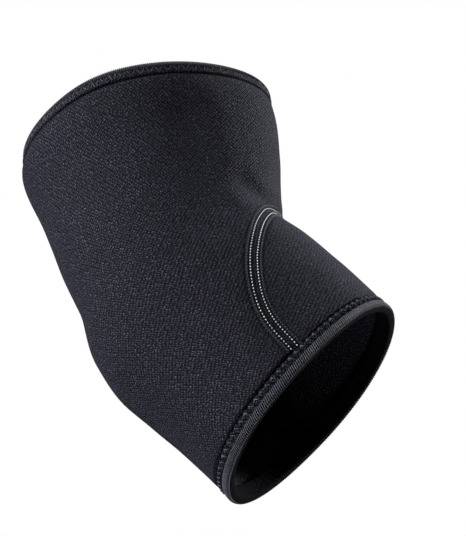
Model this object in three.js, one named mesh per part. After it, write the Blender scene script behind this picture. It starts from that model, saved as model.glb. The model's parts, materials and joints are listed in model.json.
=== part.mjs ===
// Elbow brace: a neoprene sleeve as it sits on a bent arm. A main panel wraps round from the front
// of the upper arm to the back of the forearm, a tongue-shaped panel fills the front of the forearm
// below the crook, a flat raised seam joins the two, and a hem closes each end.
//
// Millimetres, +Z up the upper arm, +X out of the crook of the elbow. The origin is the centre of
// the elbow. The two halves in front of and behind the XZ plane are alike.

import * as THREE from 'three';

const DEGREE = Math.PI / 180;
const HALF_TURN = Math.PI;
const FULL_TURN = 2 * Math.PI;

// Driving dimensions of the sleeve
const BEND = 32 * DEGREE; // how far the forearm is bent forward
const CROOK_RADIUS = 9.5; // how tightly the cloth turns in the crook
const UPPER_LENGTH = 85.5; // centre of the elbow to the upper edge, along the arm
const FOREARM_LENGTH = 85; // centre of the elbow to the lower edge, along the arm
const FRONT_REACH = 55; // centre of the elbow to the crook
const BACK_REACH = 52; // centre of the elbow to the point of the elbow
const SIDE_REACH = 43; // half the width across the elbow

// Cloth, hems and seam
const WALL = 2.8; // neoprene with knitted cloth on both faces
const GAP = 0.3; // clearance between neighbouring pieces
const UPPER_HEM_WIDTH = 6;
const LOWER_HEM_WIDTH = 8;
const THREAD = 0.3; // what the stitching adds to a face of the cloth
const HEM_SQUEEZE = 0.85; // share of its thickness that folded cloth keeps under stitches
const HEM_SHOULDER = 0.25; // share of a hem's width over which it rises to its full thickness
const HEM_NOSE = 0.7; // length of a hem's rounded end, as a share of half its thickness
const SEAM_WIDTH = 9;
const SEAM_THICKNESS = 0.7;
const SEAM_SINK = 0.3; // how far the seam's face lies below the cloth beside it
const SEAM_SLOPE = 5; // width of the slope beside the seam
const SEAM_END_ANGLE = 94.2 * DEGREE; // how far round the arm the seam meets the lower hem

// Sections across the arm. place runs from the upper edge (-1) past the elbow (0) to the lower
// edge (1). front, back and side are shares of the three reaches. The fullness of the front and of
// the back is how much further than an ellipse the outline bulges between those reaches.
const SECTIONS = [
  { place: -1.0, front: 1.25, back: 0.93, side: 1.204, frontFullness: -0.038, backFullness: -0.044 },
  { place: -0.85, front: 1.236, back: 1.0, side: 1.136, frontFullness: -0.016, backFullness: -0.022 },
  { place: -0.6, front: 1.168, back: 0.945, side: 1.038, frontFullness: 0.003, backFullness: -0.003 },
  { place: -0.3, front: 1.052, back: 0.896, side: 1.0, frontFullness: 0.02, backFullness: 0.016 },
  { place: -0.1, front: 1.009, back: 0.86, side: 1.0, frontFullness: 0.026, backFullness: 0.024 },
  { place: 0.08, front: 1.009, back: 0.983, side: 1.0, frontFullness: 0.027, backFullness: 0.028 },
  { place: 0.25, front: 1.014, back: 1.05, side: 1.0, frontFullness: 0.027, backFullness: 0.031 },
  { place: 0.6, front: 0.991, back: 1.056, side: 1.007, frontFullness: 0.027, backFullness: 0.036 },
  { place: 1.0, front: 0.922, back: 1.101, side: 1.035, frontFullness: 0.024, backFullness: 0.038 },
];

// Course of the seam from the top of its arch in the crook to the lower hem. down is a share of
// the way from the centre of the elbow to the hem, around a share of SEAM_END_ANGLE.
const SEAM_COURSE = [
  { down: -0.08, around: 0 },
  { down: -0.035, around: 0.15 },
  { down: 0.074, around: 0.311 },
  { down: 0.199, around: 0.465 },
  { down: 0.285, around: 0.576 },
  { down: 0.407, around: 0.726 },
  { down: 0.524, around: 0.829 },
  { down: 0.657, around: 0.914 },
  { down: 0.787, around: 0.965 },
  { down: 1, around: 1 },
];

// Soft rolls and hollows that the bend presses into the cloth, on both sides of the arm. Each runs
// straight between two places on the sleeve. height is a share of WALL, width of SIDE_REACH.
const FOLDS = [
  { place: -0.34, angle: 54, toPlace: -0.08, toAngle: 20, height: 0.5, width: 0.13 },
  { place: -0.5, angle: 40, toPlace: -0.2, toAngle: 14, height: -0.3, width: 0.16 },
  { place: -0.1, angle: 62, toPlace: 0.02, toAngle: 40, height: -0.25, width: 0.14 },
];

// Fineness of the faces
const SEAM_STEPS = 48; // along the whole seam, divided evenly between its arch and its two sides
const ARCH_STEPS = 24;
const BACK_STEPS = 24; // round the back of the forearm, between the two ends of the seam
const PANEL_ROWS = 18;
const FOLD_STEPS = 8;
const BESIDE_STEPS = 3;
const HEM_ROUND_STEPS = 4;
const SIMPSON_STEPS = 16;

// Sizes that follow from the ones above
const BEND_LENGTH = 1.5 * BEND * (FRONT_REACH + CROOK_RADIUS);
const UPPER_LINE = -UPPER_LENGTH + UPPER_HEM_WIDTH;
const LOWER_LINE = FOREARM_LENGTH - LOWER_HEM_WIDTH;
const SEAM_HALF = SEAM_WIDTH / 2;
const SEAM_VALLEY = GAP + SEAM_THICKNESS + SEAM_SINK;
const SIDE_STEPS = (SEAM_STEPS - ARCH_STEPS) / 2;
const COLUMNS = SEAM_STEPS + BACK_STEPS;

const mix = THREE.MathUtils.lerp;
const smoothstep = THREE.MathUtils.smoothstep;

// Slope of one column of a table at a row, so that the curve never overshoots its rows.
function rowSlope(key, i) {
  const secant = (k) =>
    (SECTIONS[k + 1][key] - SECTIONS[k][key]) / (SECTIONS[k + 1].place - SECTIONS[k].place);
  if (i === 0) return secant(0);
  if (i === SECTIONS.length - 1) return secant(i - 1);
  const before = secant(i - 1);
  const after = secant(i);
  return before * after > 0 ? (2 * before * after) / (before + after) : 0;
}

// One column of the table of sections at any place between its rows.
function column(key, place) {
  let i = 0;
  while (i < SECTIONS.length - 2 && place > SECTIONS[i + 1].place) i += 1;
  const [a, b] = [SECTIONS[i], SECTIONS[i + 1]];
  const span = b.place - a.place;
  const t = (place - a.place) / span;
  const startSlope = rowSlope(key, i) * span;
  const endSlope = rowSlope(key, i + 1) * span;
  return (
    (2 * t ** 3 - 3 * t ** 2 + 1) * a[key] +
    (t ** 3 - 2 * t ** 2 + t) * startSlope +
    (3 * t ** 2 - 2 * t ** 3) * b[key] +
    (t ** 3 - t ** 2) * endSlope
  );
}

// How far the arm has turned forward at a distance down from the centre of the elbow.
function turned(along) {
  return BEND * smoothstep(along, -BEND_LENGTH / 2, BEND_LENGTH / 2);
}

// Simpson's rule for the way that the centre line goes forward (x) and down (z) from the start of
// the bend.
function bendTravel(along) {
  const start = -BEND_LENGTH / 2;
  const step = (along - start) / SIMPSON_STEPS;
  let x = 0;
  let z = 0;
  for (let i = 0; i <= SIMPSON_STEPS; i += 1) {
    const weight = i === 0 || i === SIMPSON_STEPS ? 1 : i % 2 ? 4 : 2;
    const angle = turned(start + i * step);
    x += (weight * step * Math.sin(angle)) / 3;
    z += (weight * step * Math.cos(angle)) / 3;
  }
  return { x, z };
}

const WHOLE_BEND = bendTravel(BEND_LENGTH / 2);
// The axes of the upper arm and the forearm cross at the origin, this far from each end of the bend.
const BEND_REACH = WHOLE_BEND.z / (1 + Math.cos(BEND));

// Point of the arm's centre line.
function centre(along) {
  const inBend = THREE.MathUtils.clamp(along, -BEND_LENGTH / 2, BEND_LENGTH / 2);
  const travel = bendTravel(inBend);
  const rest = along - inBend;
  const angle = turned(along);
  return {
    x: travel.x + rest * Math.sin(angle),
    z: BEND_REACH - travel.z - rest * Math.cos(angle),
    angle,
  };
}

// Point of the plain sleeve, without folds. angle is 0 at the crook, a quarter turn on the -Y side
// and a half turn at the point of the elbow.
function plain(along, angle) {
  const place = along / (along < 0 ? UPPER_LENGTH : FOREARM_LENGTH);
  const middle = centre(along);
  const isFront = Math.cos(angle) > 0;
  const reach = isFront ? FRONT_REACH * column('front', place) : BACK_REACH * column('back', place);
  const fullness = column(isFront ? 'frontFullness' : 'backFullness', place);
  const bulge = 1 + fullness * Math.sin(2 * angle) ** 2;
  const depth = reach * Math.cos(angle) * bulge;
  const width = SIDE_REACH * column('side', place) * Math.sin(angle) * bulge;
  return new THREE.Vector3(
    middle.x + depth * Math.cos(middle.angle),
    -width,
    middle.z + depth * Math.sin(middle.angle),
  );
}

// The two directions in the plain sleeve's surface, per millimetre along and per radian round.
function directions(along, angle) {
  const [alongStep, angleStep] = [0.5, 0.01];
  const down = plain(along + alongStep, angle).sub(plain(along - alongStep, angle));
  const round = plain(along, angle + angleStep).sub(plain(along, angle - angleStep));
  return {
    down: down.divideScalar(2 * alongStep),
    round: round.divideScalar(2 * angleStep),
  };
}

function outward(along, angle) {
  const { down, round } = directions(along, angle);
  return round.cross(down).normalize();
}

// The seam's middle line from the lower hem on the +Y side over the crook to the hem on the -Y side,
// as places { along, angle } on the plain sleeve.
function seamPlaces() {
  const half = SEAM_COURSE.map(({ down, around }) => ({
    along: down * LOWER_LINE,
    angle: around * SEAM_END_ANGLE,
  }));
  const farSide = half.slice(1).reverse().map(({ along, angle }) => ({ along, angle: -angle }));
  const points = [...farSide, ...half].map(
    ({ along, angle }) => new THREE.Vector3(along, angle * SIDE_REACH, 0),
  );
  const curve = new THREE.CatmullRomCurve3(points, false, 'centripetal');
  curve.arcLengthDivisions = 20 * SEAM_STEPS;
  return curve.getSpacedPoints(SEAM_STEPS).map((p) => ({ along: p.x, angle: p.y / SIDE_REACH }));
}

const SEAM = seamPlaces();

// Place on the sleeve beside step i of the seam: positive offsets lie on the main panel's side.
function besideSeam(i, offset) {
  const before = SEAM[Math.max(i - 1, 0)];
  const after = SEAM[Math.min(i + 1, SEAM_STEPS)];
  let { along, angle } = SEAM[i];
  for (let k = 0; k < BESIDE_STEPS; k += 1) {
    const { down, round } = directions(along, angle);
    const course = down.clone().multiplyScalar(after.along - before.along);
    course.addScaledVector(round, after.angle - before.angle);
    const normal = round.clone().cross(down).normalize();
    const aside = course.cross(normal).normalize().multiplyScalar(offset / BESIDE_STEPS);
    // The step aside as so much down and so much round, which aren't quite square to each other
    const [dd, dr, rr] = [down.dot(down), down.dot(round), round.dot(round)];
    const [ad, ar] = [aside.dot(down), aside.dot(round)];
    const scale = dd * rr - dr * dr;
    along += (ad * rr - ar * dr) / scale;
    angle += (ar * dd - ad * dr) / scale;
  }
  const isEnd = i === 0 || i === SEAM_STEPS;
  return { along: isEnd ? LOWER_LINE : Math.min(along, LOWER_LINE), angle };
}

// A line on the sleeve as points in space, to measure distances from.
function pathInSpace(places) {
  return places.map(({ along, angle }) => plain(along, angle));
}

function distanceToPath(point, path) {
  const segment = new THREE.Line3();
  const nearest = new THREE.Vector3();
  let distance = Infinity;
  for (let i = 1; i < path.length; i += 1) {
    segment.set(path[i - 1], path[i]).closestPointToPoint(point, true, nearest);
    distance = Math.min(distance, nearest.distanceTo(point));
  }
  return distance;
}

function foldPath(fold) {
  const places = [];
  for (let i = 0; i <= FOLD_STEPS; i += 1) {
    const place = mix(fold.place, fold.toPlace, i / FOLD_STEPS);
    const angle = mix(fold.angle, fold.toAngle, i / FOLD_STEPS) * DEGREE;
    places.push({ along: place * (place < 0 ? UPPER_LENGTH : FOREARM_LENGTH), angle });
  }
  return pathInSpace(places);
}

const SEAM_PATH = pathInSpace(SEAM);
const FOLD_PATHS = FOLDS.map(foldPath);

// How far folds and the seam's valley lift the cloth out of the plain sleeve or sink it.
function relief(point) {
  const nearSide = new THREE.Vector3(point.x, -Math.abs(point.y), point.z);
  let height = 0;
  FOLDS.forEach((fold, i) => {
    const away = distanceToPath(nearSide, FOLD_PATHS[i]) / (fold.width * SIDE_REACH);
    height += fold.height * WALL * Math.exp(-(away ** 2));
  });
  const fromSeam = distanceToPath(point, SEAM_PATH) - SEAM_HALF;
  const valley = 1 - smoothstep(fromSeam, 0, SEAM_SLOPE);
  return height * (1 - valley) - SEAM_VALLEY * valley;
}

// Point of a cloth face that lies lift above the outside of the panels.
function clothPoint({ along, angle }, lift) {
  const point = plain(along, angle);
  const height = relief(point) + lift;
  return point.addScaledVector(outward(along, angle), height);
}

// A sheet is a list of places on the sleeve and the faces between them, seen from outside.
class Sheet {
  constructor() {
    this.places = [];
    this.faces = [];
  }

  row(places) {
    return places.map((place) => this.places.push(place) - 1);
  }

  // Faces between two rows, the first one nearer the upper edge.
  strip(above, below, closed = false) {
    const count = above.length;
    for (let i = 0; i < (closed ? count : count - 1); i += 1) {
      const next = (i + 1) % count;
      this.faces.push([above[i], above[next], below[i]]);
      this.faces.push([above[next], below[next], below[i]]);
    }
  }

  // Closed body between two faces of this sheet, with walls along its edges.
  solid(outerLift, innerLift) {
    const count = this.places.length;
    const outer = this.places.map((place) => clothPoint(place, outerLift));
    const inner = this.places.map((place) => clothPoint(place, innerLift));
    const indices = [];
    const edges = new Map();
    for (const face of this.faces) {
      indices.push(...face);
      indices.push(face[0] + count, face[2] + count, face[1] + count);
      face.forEach((from, k) => edges.set(`${from},${face[(k + 1) % 3]}`, [from, face[(k + 1) % 3]]));
    }
    for (const [from, to] of edges.values()) {
      if (!edges.has(`${to},${from}`)) {
        indices.push(to, from, from + count);
        indices.push(to, from + count, to + count);
      }
    }
    return bodyGeometry([...outer, ...inner], indices);
  }
}

function bodyGeometry(points, indices) {
  const geometry = new THREE.BufferGeometry().setFromPoints(points);
  geometry.setIndex(indices);
  geometry.computeVertexNormals();
  return geometry;
}

function seamRow(offset) {
  return SEAM.map((_, i) => besideSeam(i, offset));
}

// Places along the lower hem between two angles, without the first and the last.
function hemPlaces(from, to, steps) {
  return Array.from({ length: steps - 1 }, (_, i) => ({
    along: LOWER_LINE,
    angle: mix(from, to, (i + 1) / steps),
  }));
}

// The main panel: a border along the seam, and rows from the upper hem down to that border and to
// the lower hem behind it. Its columns keep the same share of the way round at both ends.
function mainPanel() {
  const sheet = new Sheet();
  const edge = sheet.row(seamRow(GAP / 2));
  const border = seamRow(SEAM_HALF);
  const nearEnd = border[SEAM_STEPS].angle;
  const farEnd = border[0].angle;
  const lower = [...border, ...hemPlaces(nearEnd, farEnd + FULL_TURN, BACK_STEPS)];
  const lengths = lower.map((place, i) => {
    const next = lower[(i + 1) % COLUMNS];
    return plain(place.along, place.angle).distanceTo(plain(next.along, next.angle));
  });
  const whole = lengths.reduce((sum, length) => sum + length, 0);
  const arch = lengths.slice(0, SEAM_STEPS / 2).reduce((sum, length) => sum + length, 0);
  let passed = -arch;
  const upperAngles = lengths.map((length) => {
    const angle = (passed / whole) * FULL_TURN;
    passed += length;
    return angle;
  });
  let above = null;
  for (let row = 0; row <= PANEL_ROWS; row += 1) {
    const share = row / PANEL_ROWS;
    const places = lower.map((place, i) => ({
      along: mix(UPPER_LINE, place.along, share),
      angle: mix(upperAngles[i], place.angle, share),
    }));
    const indices = sheet.row(places);
    if (above) sheet.strip(above, indices, true);
    above = indices;
  }
  sheet.strip(above.slice(0, SEAM_STEPS + 1), edge);
  return sheet.solid(0, -WALL);
}

// The crook panel: a border along the seam, and rows and columns stretched between the border's
// arch, its two sides and the lower hem.
function crookPanel() {
  const sheet = new Sheet();
  const edge = sheet.row(seamRow(-GAP / 2));
  const border = seamRow(-SEAM_HALF);
  const borderIndices = sheet.row(border);
  sheet.strip(edge, borderIndices);
  const last = SEAM_STEPS;
  const hem = hemPlaces(border[0].angle, border[last].angle, ARCH_STEPS);
  const bottom = [border[0], ...hem, border[last]];
  const blend = (key, row, col) => {
    const [v, u] = [row / SIDE_STEPS, col / ARCH_STEPS];
    const [left, right] = [border[SIDE_STEPS - row][key], border[SIDE_STEPS + ARCH_STEPS + row][key]];
    const between = mix(border[SIDE_STEPS + col][key], bottom[col][key], v) + mix(left, right, u);
    const corners = mix(
      mix(border[SIDE_STEPS][key], border[SIDE_STEPS + ARCH_STEPS][key], u),
      mix(bottom[0][key], bottom[ARCH_STEPS][key], u),
      v,
    );
    return between - corners;
  };
  let above = borderIndices.slice(SIDE_STEPS, SIDE_STEPS + ARCH_STEPS + 1);
  for (let row = 1; row <= SIDE_STEPS; row += 1) {
    const inner = [];
    for (let col = 1; col < ARCH_STEPS; col += 1) {
      inner.push({ along: blend('along', row, col), angle: blend('angle', row, col) });
    }
    const left = borderIndices[SIDE_STEPS - row];
    const right = borderIndices[SIDE_STEPS + ARCH_STEPS + row];
    const indices = [left, ...sheet.row(inner), right];
    sheet.strip(above, indices);
    above = indices;
  }
  return sheet.solid(0, -WALL);
}

// The seam: a flat strip of stitched-down cloth edges, lying in its valley over the joint.
function crookSeam() {
  const sheet = new Sheet();
  const rows = [SEAM_HALF, 0, -SEAM_HALF].map((offset) => sheet.row(seamRow(offset)));
  sheet.strip(rows[0], rows[1]);
  sheet.strip(rows[1], rows[2]);
  return sheet.solid(GAP + SEAM_THICKNESS, GAP);
}

// A hem: a ring with a rounded end. start is its edge beside the panels and end its free edge,
// outer and inner its two faces above the outside of the cloth.
function hem(start, end, outer, inner) {
  const round = (outer - inner) / 2;
  const middle = (outer + inner) / 2;
  const inwards = Math.sign(start - end);
  const outline = [
    { along: start, lift: outer - THREAD },
    { along: mix(start, end, HEM_SHOULDER), lift: outer },
  ];
  for (let i = 0; i <= HEM_ROUND_STEPS; i += 1) {
    const turn = (i / HEM_ROUND_STEPS) * HALF_TURN;
    outline.push({
      along: end + inwards * round * (1 - Math.sin(turn)) * HEM_NOSE,
      lift: middle + round * Math.cos(turn),
    });
  }
  outline.push({ along: start, lift: inner });
  const points = [];
  const indices = [];
  const size = outline.length;
  for (let i = 0; i < COLUMNS; i += 1) {
    const angle = (i / COLUMNS) * FULL_TURN;
    for (const { along, lift } of outline) {
      points.push(plain(along, angle).addScaledVector(outward(along, angle), lift));
    }
    const next = (i + 1) % COLUMNS;
    for (let k = 0; k < size; k += 1) {
      const [a, b] = [i * size + k, i * size + ((k + 1) % size)];
      const [c, d] = [next * size + k, next * size + ((k + 1) % size)];
      if (inwards < 0) indices.push(a, c, b, c, d, b);
      else indices.push(a, b, c, c, b, d);
    }
  }
  return bodyGeometry(points, indices);
}

function upperHem() {
  return hem(UPPER_LINE - GAP, -UPPER_LENGTH, THREAD, -WALL - THREAD);
}

// The lower edge is turned in and stitched down, so it is nearly twice as thick as the cloth.
function lowerHem() {
  const inner = 2 * THREAD - 2 * WALL * HEM_SQUEEZE;
  return hem(LOWER_LINE + GAP, FOREARM_LENGTH, 2 * THREAD, inner);
}

const KNIT = { color: 0x2d2d34, roughness: 0.9, metalness: 0 };
const STITCHING = { color: 0x8d8f98, roughness: 0.7, metalness: 0 };
const HEM_CLOTH = { color: 0x202026, roughness: 0.85, metalness: 0 };

function piece(name, geometry, looks) {
  const mesh = new THREE.Mesh(geometry, new THREE.MeshStandardMaterial(looks));
  mesh.name = name;
  return mesh;
}

const brace = new THREE.Group();
brace.add(
  piece('main_panel', mainPanel(), KNIT),
  piece('crook_panel', crookPanel(), KNIT),
  piece('crook_seam', crookSeam(), STITCHING),
  piece('upper_hem', upperHem(), HEM_CLOTH),
  piece('lower_hem', lowerHem(), HEM_CLOTH),
);

export default brace;
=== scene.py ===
import json
import math

import bmesh
import bpy
import numpy as np
from bpy.props import FloatProperty, FloatVectorProperty, PointerProperty
from mathutils import Matrix, Vector, noise

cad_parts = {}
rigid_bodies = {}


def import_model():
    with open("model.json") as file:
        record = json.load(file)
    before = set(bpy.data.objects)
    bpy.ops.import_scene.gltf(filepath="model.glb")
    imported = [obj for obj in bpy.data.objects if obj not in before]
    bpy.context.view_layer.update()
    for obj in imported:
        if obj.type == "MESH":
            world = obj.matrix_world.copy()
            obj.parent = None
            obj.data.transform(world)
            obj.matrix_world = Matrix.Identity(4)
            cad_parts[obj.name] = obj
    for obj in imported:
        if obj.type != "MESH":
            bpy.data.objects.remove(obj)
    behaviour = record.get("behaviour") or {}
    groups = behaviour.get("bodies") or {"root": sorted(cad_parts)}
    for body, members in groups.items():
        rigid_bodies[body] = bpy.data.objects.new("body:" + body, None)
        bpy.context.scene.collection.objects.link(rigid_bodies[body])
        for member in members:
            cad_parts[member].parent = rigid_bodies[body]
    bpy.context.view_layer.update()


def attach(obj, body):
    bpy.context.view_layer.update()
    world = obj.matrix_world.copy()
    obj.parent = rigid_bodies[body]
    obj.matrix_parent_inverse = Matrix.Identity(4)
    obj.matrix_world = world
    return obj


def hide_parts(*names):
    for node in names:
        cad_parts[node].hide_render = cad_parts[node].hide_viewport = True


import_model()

bl_info = {
    "name": "Elbow brace",
    "version": (1, 0, 0),
    "blender": (4, 5, 0),
    "location": "3D View > Sidebar > Brace",
    "description": "Dresses the packed elbow brace in knitted neoprene, seams and hems",
    "category": "Object",
}

BODY = "root"
CLOTH_UV = "cloth"
# The vertex attribute of painted shade in creases, and the near-black colour this painted shade
# darkens the knit towards.
CREASE_SHADE = "crease"
PAINTED_SHADE_BLACK = (0.001, 0.001, 0.0014, 1.0)
WELD = 1e-6
MM = 0.001
TAU = math.tau

# Sections across the arm, as in the CAD model. place runs from the upper edge (-1) past the elbow
# (0) to the lower edge (1). front, back and side are shares of the three reaches.
SECTION_COLUMNS = ("place", "front", "back", "side", "front_fullness", "back_fullness")
SECTIONS = (
    (-1.0, 1.25, 0.93, 1.204, -0.038, -0.044),
    (-0.85, 1.236, 1.0, 1.136, -0.016, -0.022),
    (-0.6, 1.168, 0.945, 1.038, 0.003, -0.003),
    (-0.3, 1.052, 0.896, 1.0, 0.02, 0.016),
    (-0.1, 1.009, 0.86, 1.0, 0.026, 0.024),
    (0.08, 1.009, 0.983, 1.0, 0.027, 0.028),
    (0.25, 1.014, 1.05, 1.0, 0.027, 0.031),
    (0.6, 0.991, 1.056, 1.007, 0.027, 0.036),
    (1.0, 0.922, 1.101, 1.035, 0.024, 0.038),
)

# Course of the seam from the top of its arch to the lower hem: shares of the way down and round.
SEAM_COURSE = (
    (-0.08, 0.0),
    (-0.035, 0.15),
    (0.074, 0.311),
    (0.199, 0.465),
    (0.285, 0.576),
    (0.407, 0.726),
    (0.524, 0.829),
    (0.657, 0.914),
    (0.787, 0.965),
    (1.0, 1.0),
)

# Soft rolls and hollows. height is a share of the wall, above and below are the widths of the two
# flanks as shares of the side reach, fade the share of its length over which it rises. The crease
# in the crook has a steep flank towards the upper arm and a long one below.
FOLD_COLUMNS = ("place", "angle", "to_place", "to_angle", "height", "above", "below", "fade")
FOLDS = (
    (-0.38, 53, -0.05, 20, -0.7, 0.13, 0.2, 0.3),
    (-0.24, 62, 0.0, 38, 0.35, 0.16, 0.2, 0.4),
    (-0.46, 40, -0.2, 10, -0.1, 0.3, 0.12, 0.5),
    (-0.95, 67, -0.1, 65, -0.85, 0.26, 0.32, 0.3),
    (0.0, 66, 0.3, 80, -0.3, 0.2, 0.2, 0.3),
)

# Valleys pressed along the seam: distance from its middle line, depth and half-width, in mm.
SEAM_VALLEYS = ((1.55, 0.3, 0.5), (0.0, 0.45, 0.35), (3.9, 0.35, 0.5))

# Dents of a hem in mm: way over its cross-section, pitch as a share of the hem's zigzag pitch,
# half-widths round and over, depth, then how much painted shade darkens each and how far it leans.
DENT_COLUMNS = ("way", "pitch", "across", "down", "depth", "shade", "lean")
UPPER_DENTS = (
    (0.4, 1 / 3, 0.45, 0.4, 0.4, 0.9, 0.0),
    (4.0, 1.0, 0.5, 0.5, 0.3, 0.5, 0.0),
)
LOWER_DENTS = (
    (0.5, 1.0, 0.9, 0.6, 0.5, 0.8, 0.0),
    (3.7, 1.0, 0.5, 1.1, 0.6, 1.0, 0.35),
    (3.7, 1.0, 1.2, 1.8, 0.15, 0.1, 0.35),
)

# Straight stitches of a hem in mm: from one way over its cross-section to another, shifted round
# the arm, so wide across and so far above the cloth.
STROKE_COLUMNS = ("start", "end", "shift", "width", "above")
UPPER_STROKES = (
    (1.4, 4.0, -1.0, -1.7, 0.14),
    (1.4, 4.0, 1.1, 1.5, 0.0),
)
LOWER_STROKES = (
    (0.9, 2.9, -1.7, -1.6, 0.16),
    (0.9, 2.1, -0.9, 1.0, 0.08),
)
STROKE_RISES = np.array([-1.2, 0.8, 1.0, 0.8, -1.2])
STROKE_SHARES = (0.5, 0.9, 1.0, 0.9, 0.5)


def size(name, description, millimetres):
    return FloatProperty(
        name=name, description=description, default=millimetres * MM, unit="LENGTH")


def bearing(name, description, degrees):
    return FloatProperty(
        name=name, description=description, default=math.radians(degrees), subtype="ANGLE")


def tint(name, description, default):
    return FloatVectorProperty(
        name=name, description=description, default=default, subtype="COLOR", size=3, min=0,
        max=1)


class SleeveSizes(bpy.types.PropertyGroup):
    bend: bearing("Bend", "How far the forearm is bent forward", 32)
    crook_radius: size("Crook radius", "How tightly the cloth turns in the crook", 9.5)
    upper_length: size("Upper length", "Centre of the elbow to the upper edge", 85.5)
    forearm_length: size("Forearm length", "Centre of the elbow to the lower edge", 85)
    front_reach: size("Front reach", "Centre of the elbow to the crook", 55)
    back_reach: size("Back reach", "Centre of the elbow to the point of the elbow", 52)
    side_reach: size("Side reach", "Half the width across the elbow", 43)
    wall: size("Wall", "Thickness of the neoprene with its knitted faces", 2.8)
    upper_hem: size("Upper hem", "Width of the overlocked hem", 6)
    lower_hem: size("Lower hem", "Width of the turned-in hem", 8)
    gap: size("Gap", "Clearance between neighbouring pieces", 0.3)


class StitchSizes(bpy.types.PropertyGroup):
    knit_pitch: size("Knit pitch", "From one stitch of the knitted cloth to the next", 1.22)
    needle_pitch: size("Needle pitch", "From one white stitch of the seam to the next", 1.6)
    needle_rows: size("Needle rows", "Distance between the two white rows", 3.1)
    needle_thread: size("Needle thread", "Thickness of the white thread", 0.5)
    cover_row: size("Cover row", "From a white row to the grey row beside it", 1.4)
    cover_width: size("Cover width", "Width of the whole seam with its cover threads", 7.8)
    cover_thread: size("Cover thread", "Thickness of the grey thread", 0.32)
    zigzag_pitch: size("Zigzag pitch", "From one V of the upper hem to the next", 4.2)
    zigzag_thread: size("Zigzag thread", "Thickness of the hems' zigzag thread", 0.3)
    overlock_pitch: size("Overlock pitch", "From one loop round the upper edge to the next", 0.92)
    overlock_thread: size("Overlock thread", "Thickness of the loops round the upper edge", 0.5)
    lower_pitch: size("Lower hem pitch", "From one zigzag of the lower hem to the next", 3.7)
    rib_pitch: size("Rib pitch", "From one rib of the turned-in cloth to the next", 1.0)
    rib_width: size("Rib width", "Thickness of a rib of the turned-in cloth", 0.42)


class FabricColours(bpy.types.PropertyGroup):
    knit: tint("Knit", "Charcoal of the knitted cloth", (0.0475, 0.0465, 0.065))
    fleck: tint("Fleck", "Light threads of the knit", (0.2, 0.2, 0.25))
    hollow: tint("Hollow", "Gaps between the stitches of the knit", (0.0025, 0.0025, 0.0035))
    needle: tint("Needle thread", "White thread of the seam", (0.97, 0.94, 1.0))
    cover: tint("Cover thread", "Grey thread beside the seam", (0.08, 0.08, 0.1))
    overlock: tint("Overlock thread", "Dark thread round the edges", (0.021, 0.021, 0.027))
    rib: tint("Rib", "Stretched ribs of the turned-in hem", (0.065, 0.065, 0.085))
    upper_zigzag: tint("Upper zigzag", "Zigzag thread of the upper hem", (0.0825, 0.0825, 0.099))
    lower_zigzag: tint("Lower zigzag", "Zigzag thread of the lower hem", (0.15, 0.15, 0.18))


class StudioSettings(bpy.types.PropertyGroup):
    azimuth: bearing("Azimuth", "Camera round the arm", -6)
    elevation: bearing("Elevation", "Camera above the elbow", -30)
    roll: bearing("Roll", "Camera round its own axis", -18)
    distance: size("Distance", "Camera to the elbow", 1000)
    lamp_distance: size("Lamp distance", "Lamps to the elbow", 900)
    lamp_width: size("Lamp width", "Width of each round lamp", 250)
    floor_height: size("Floor height", "Height of the floor under the brace", -1100)
    ambient: FloatProperty(
        name="Ambient", description="Strength of the light from all round", default=0.04)


# Lamps round the brace as the camera sees it: to its right, above it, towards the camera, watts.
LAMPS = {
    "left_above": (-0.75, 0.6, 0.25, 9.6),
    "left": (-0.8, 0.0, 0.7, 3.3),
    "front_above": (-0.6, 0.6, 0.6, 1.9),
    "right_behind": (0.9, 0.1, -0.4, 9.4),
    "right_above": (0.6, 0.6, -0.5, 3.8),
    "below": (0.15, -0.87, 0.5, 2.2),
}


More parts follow.
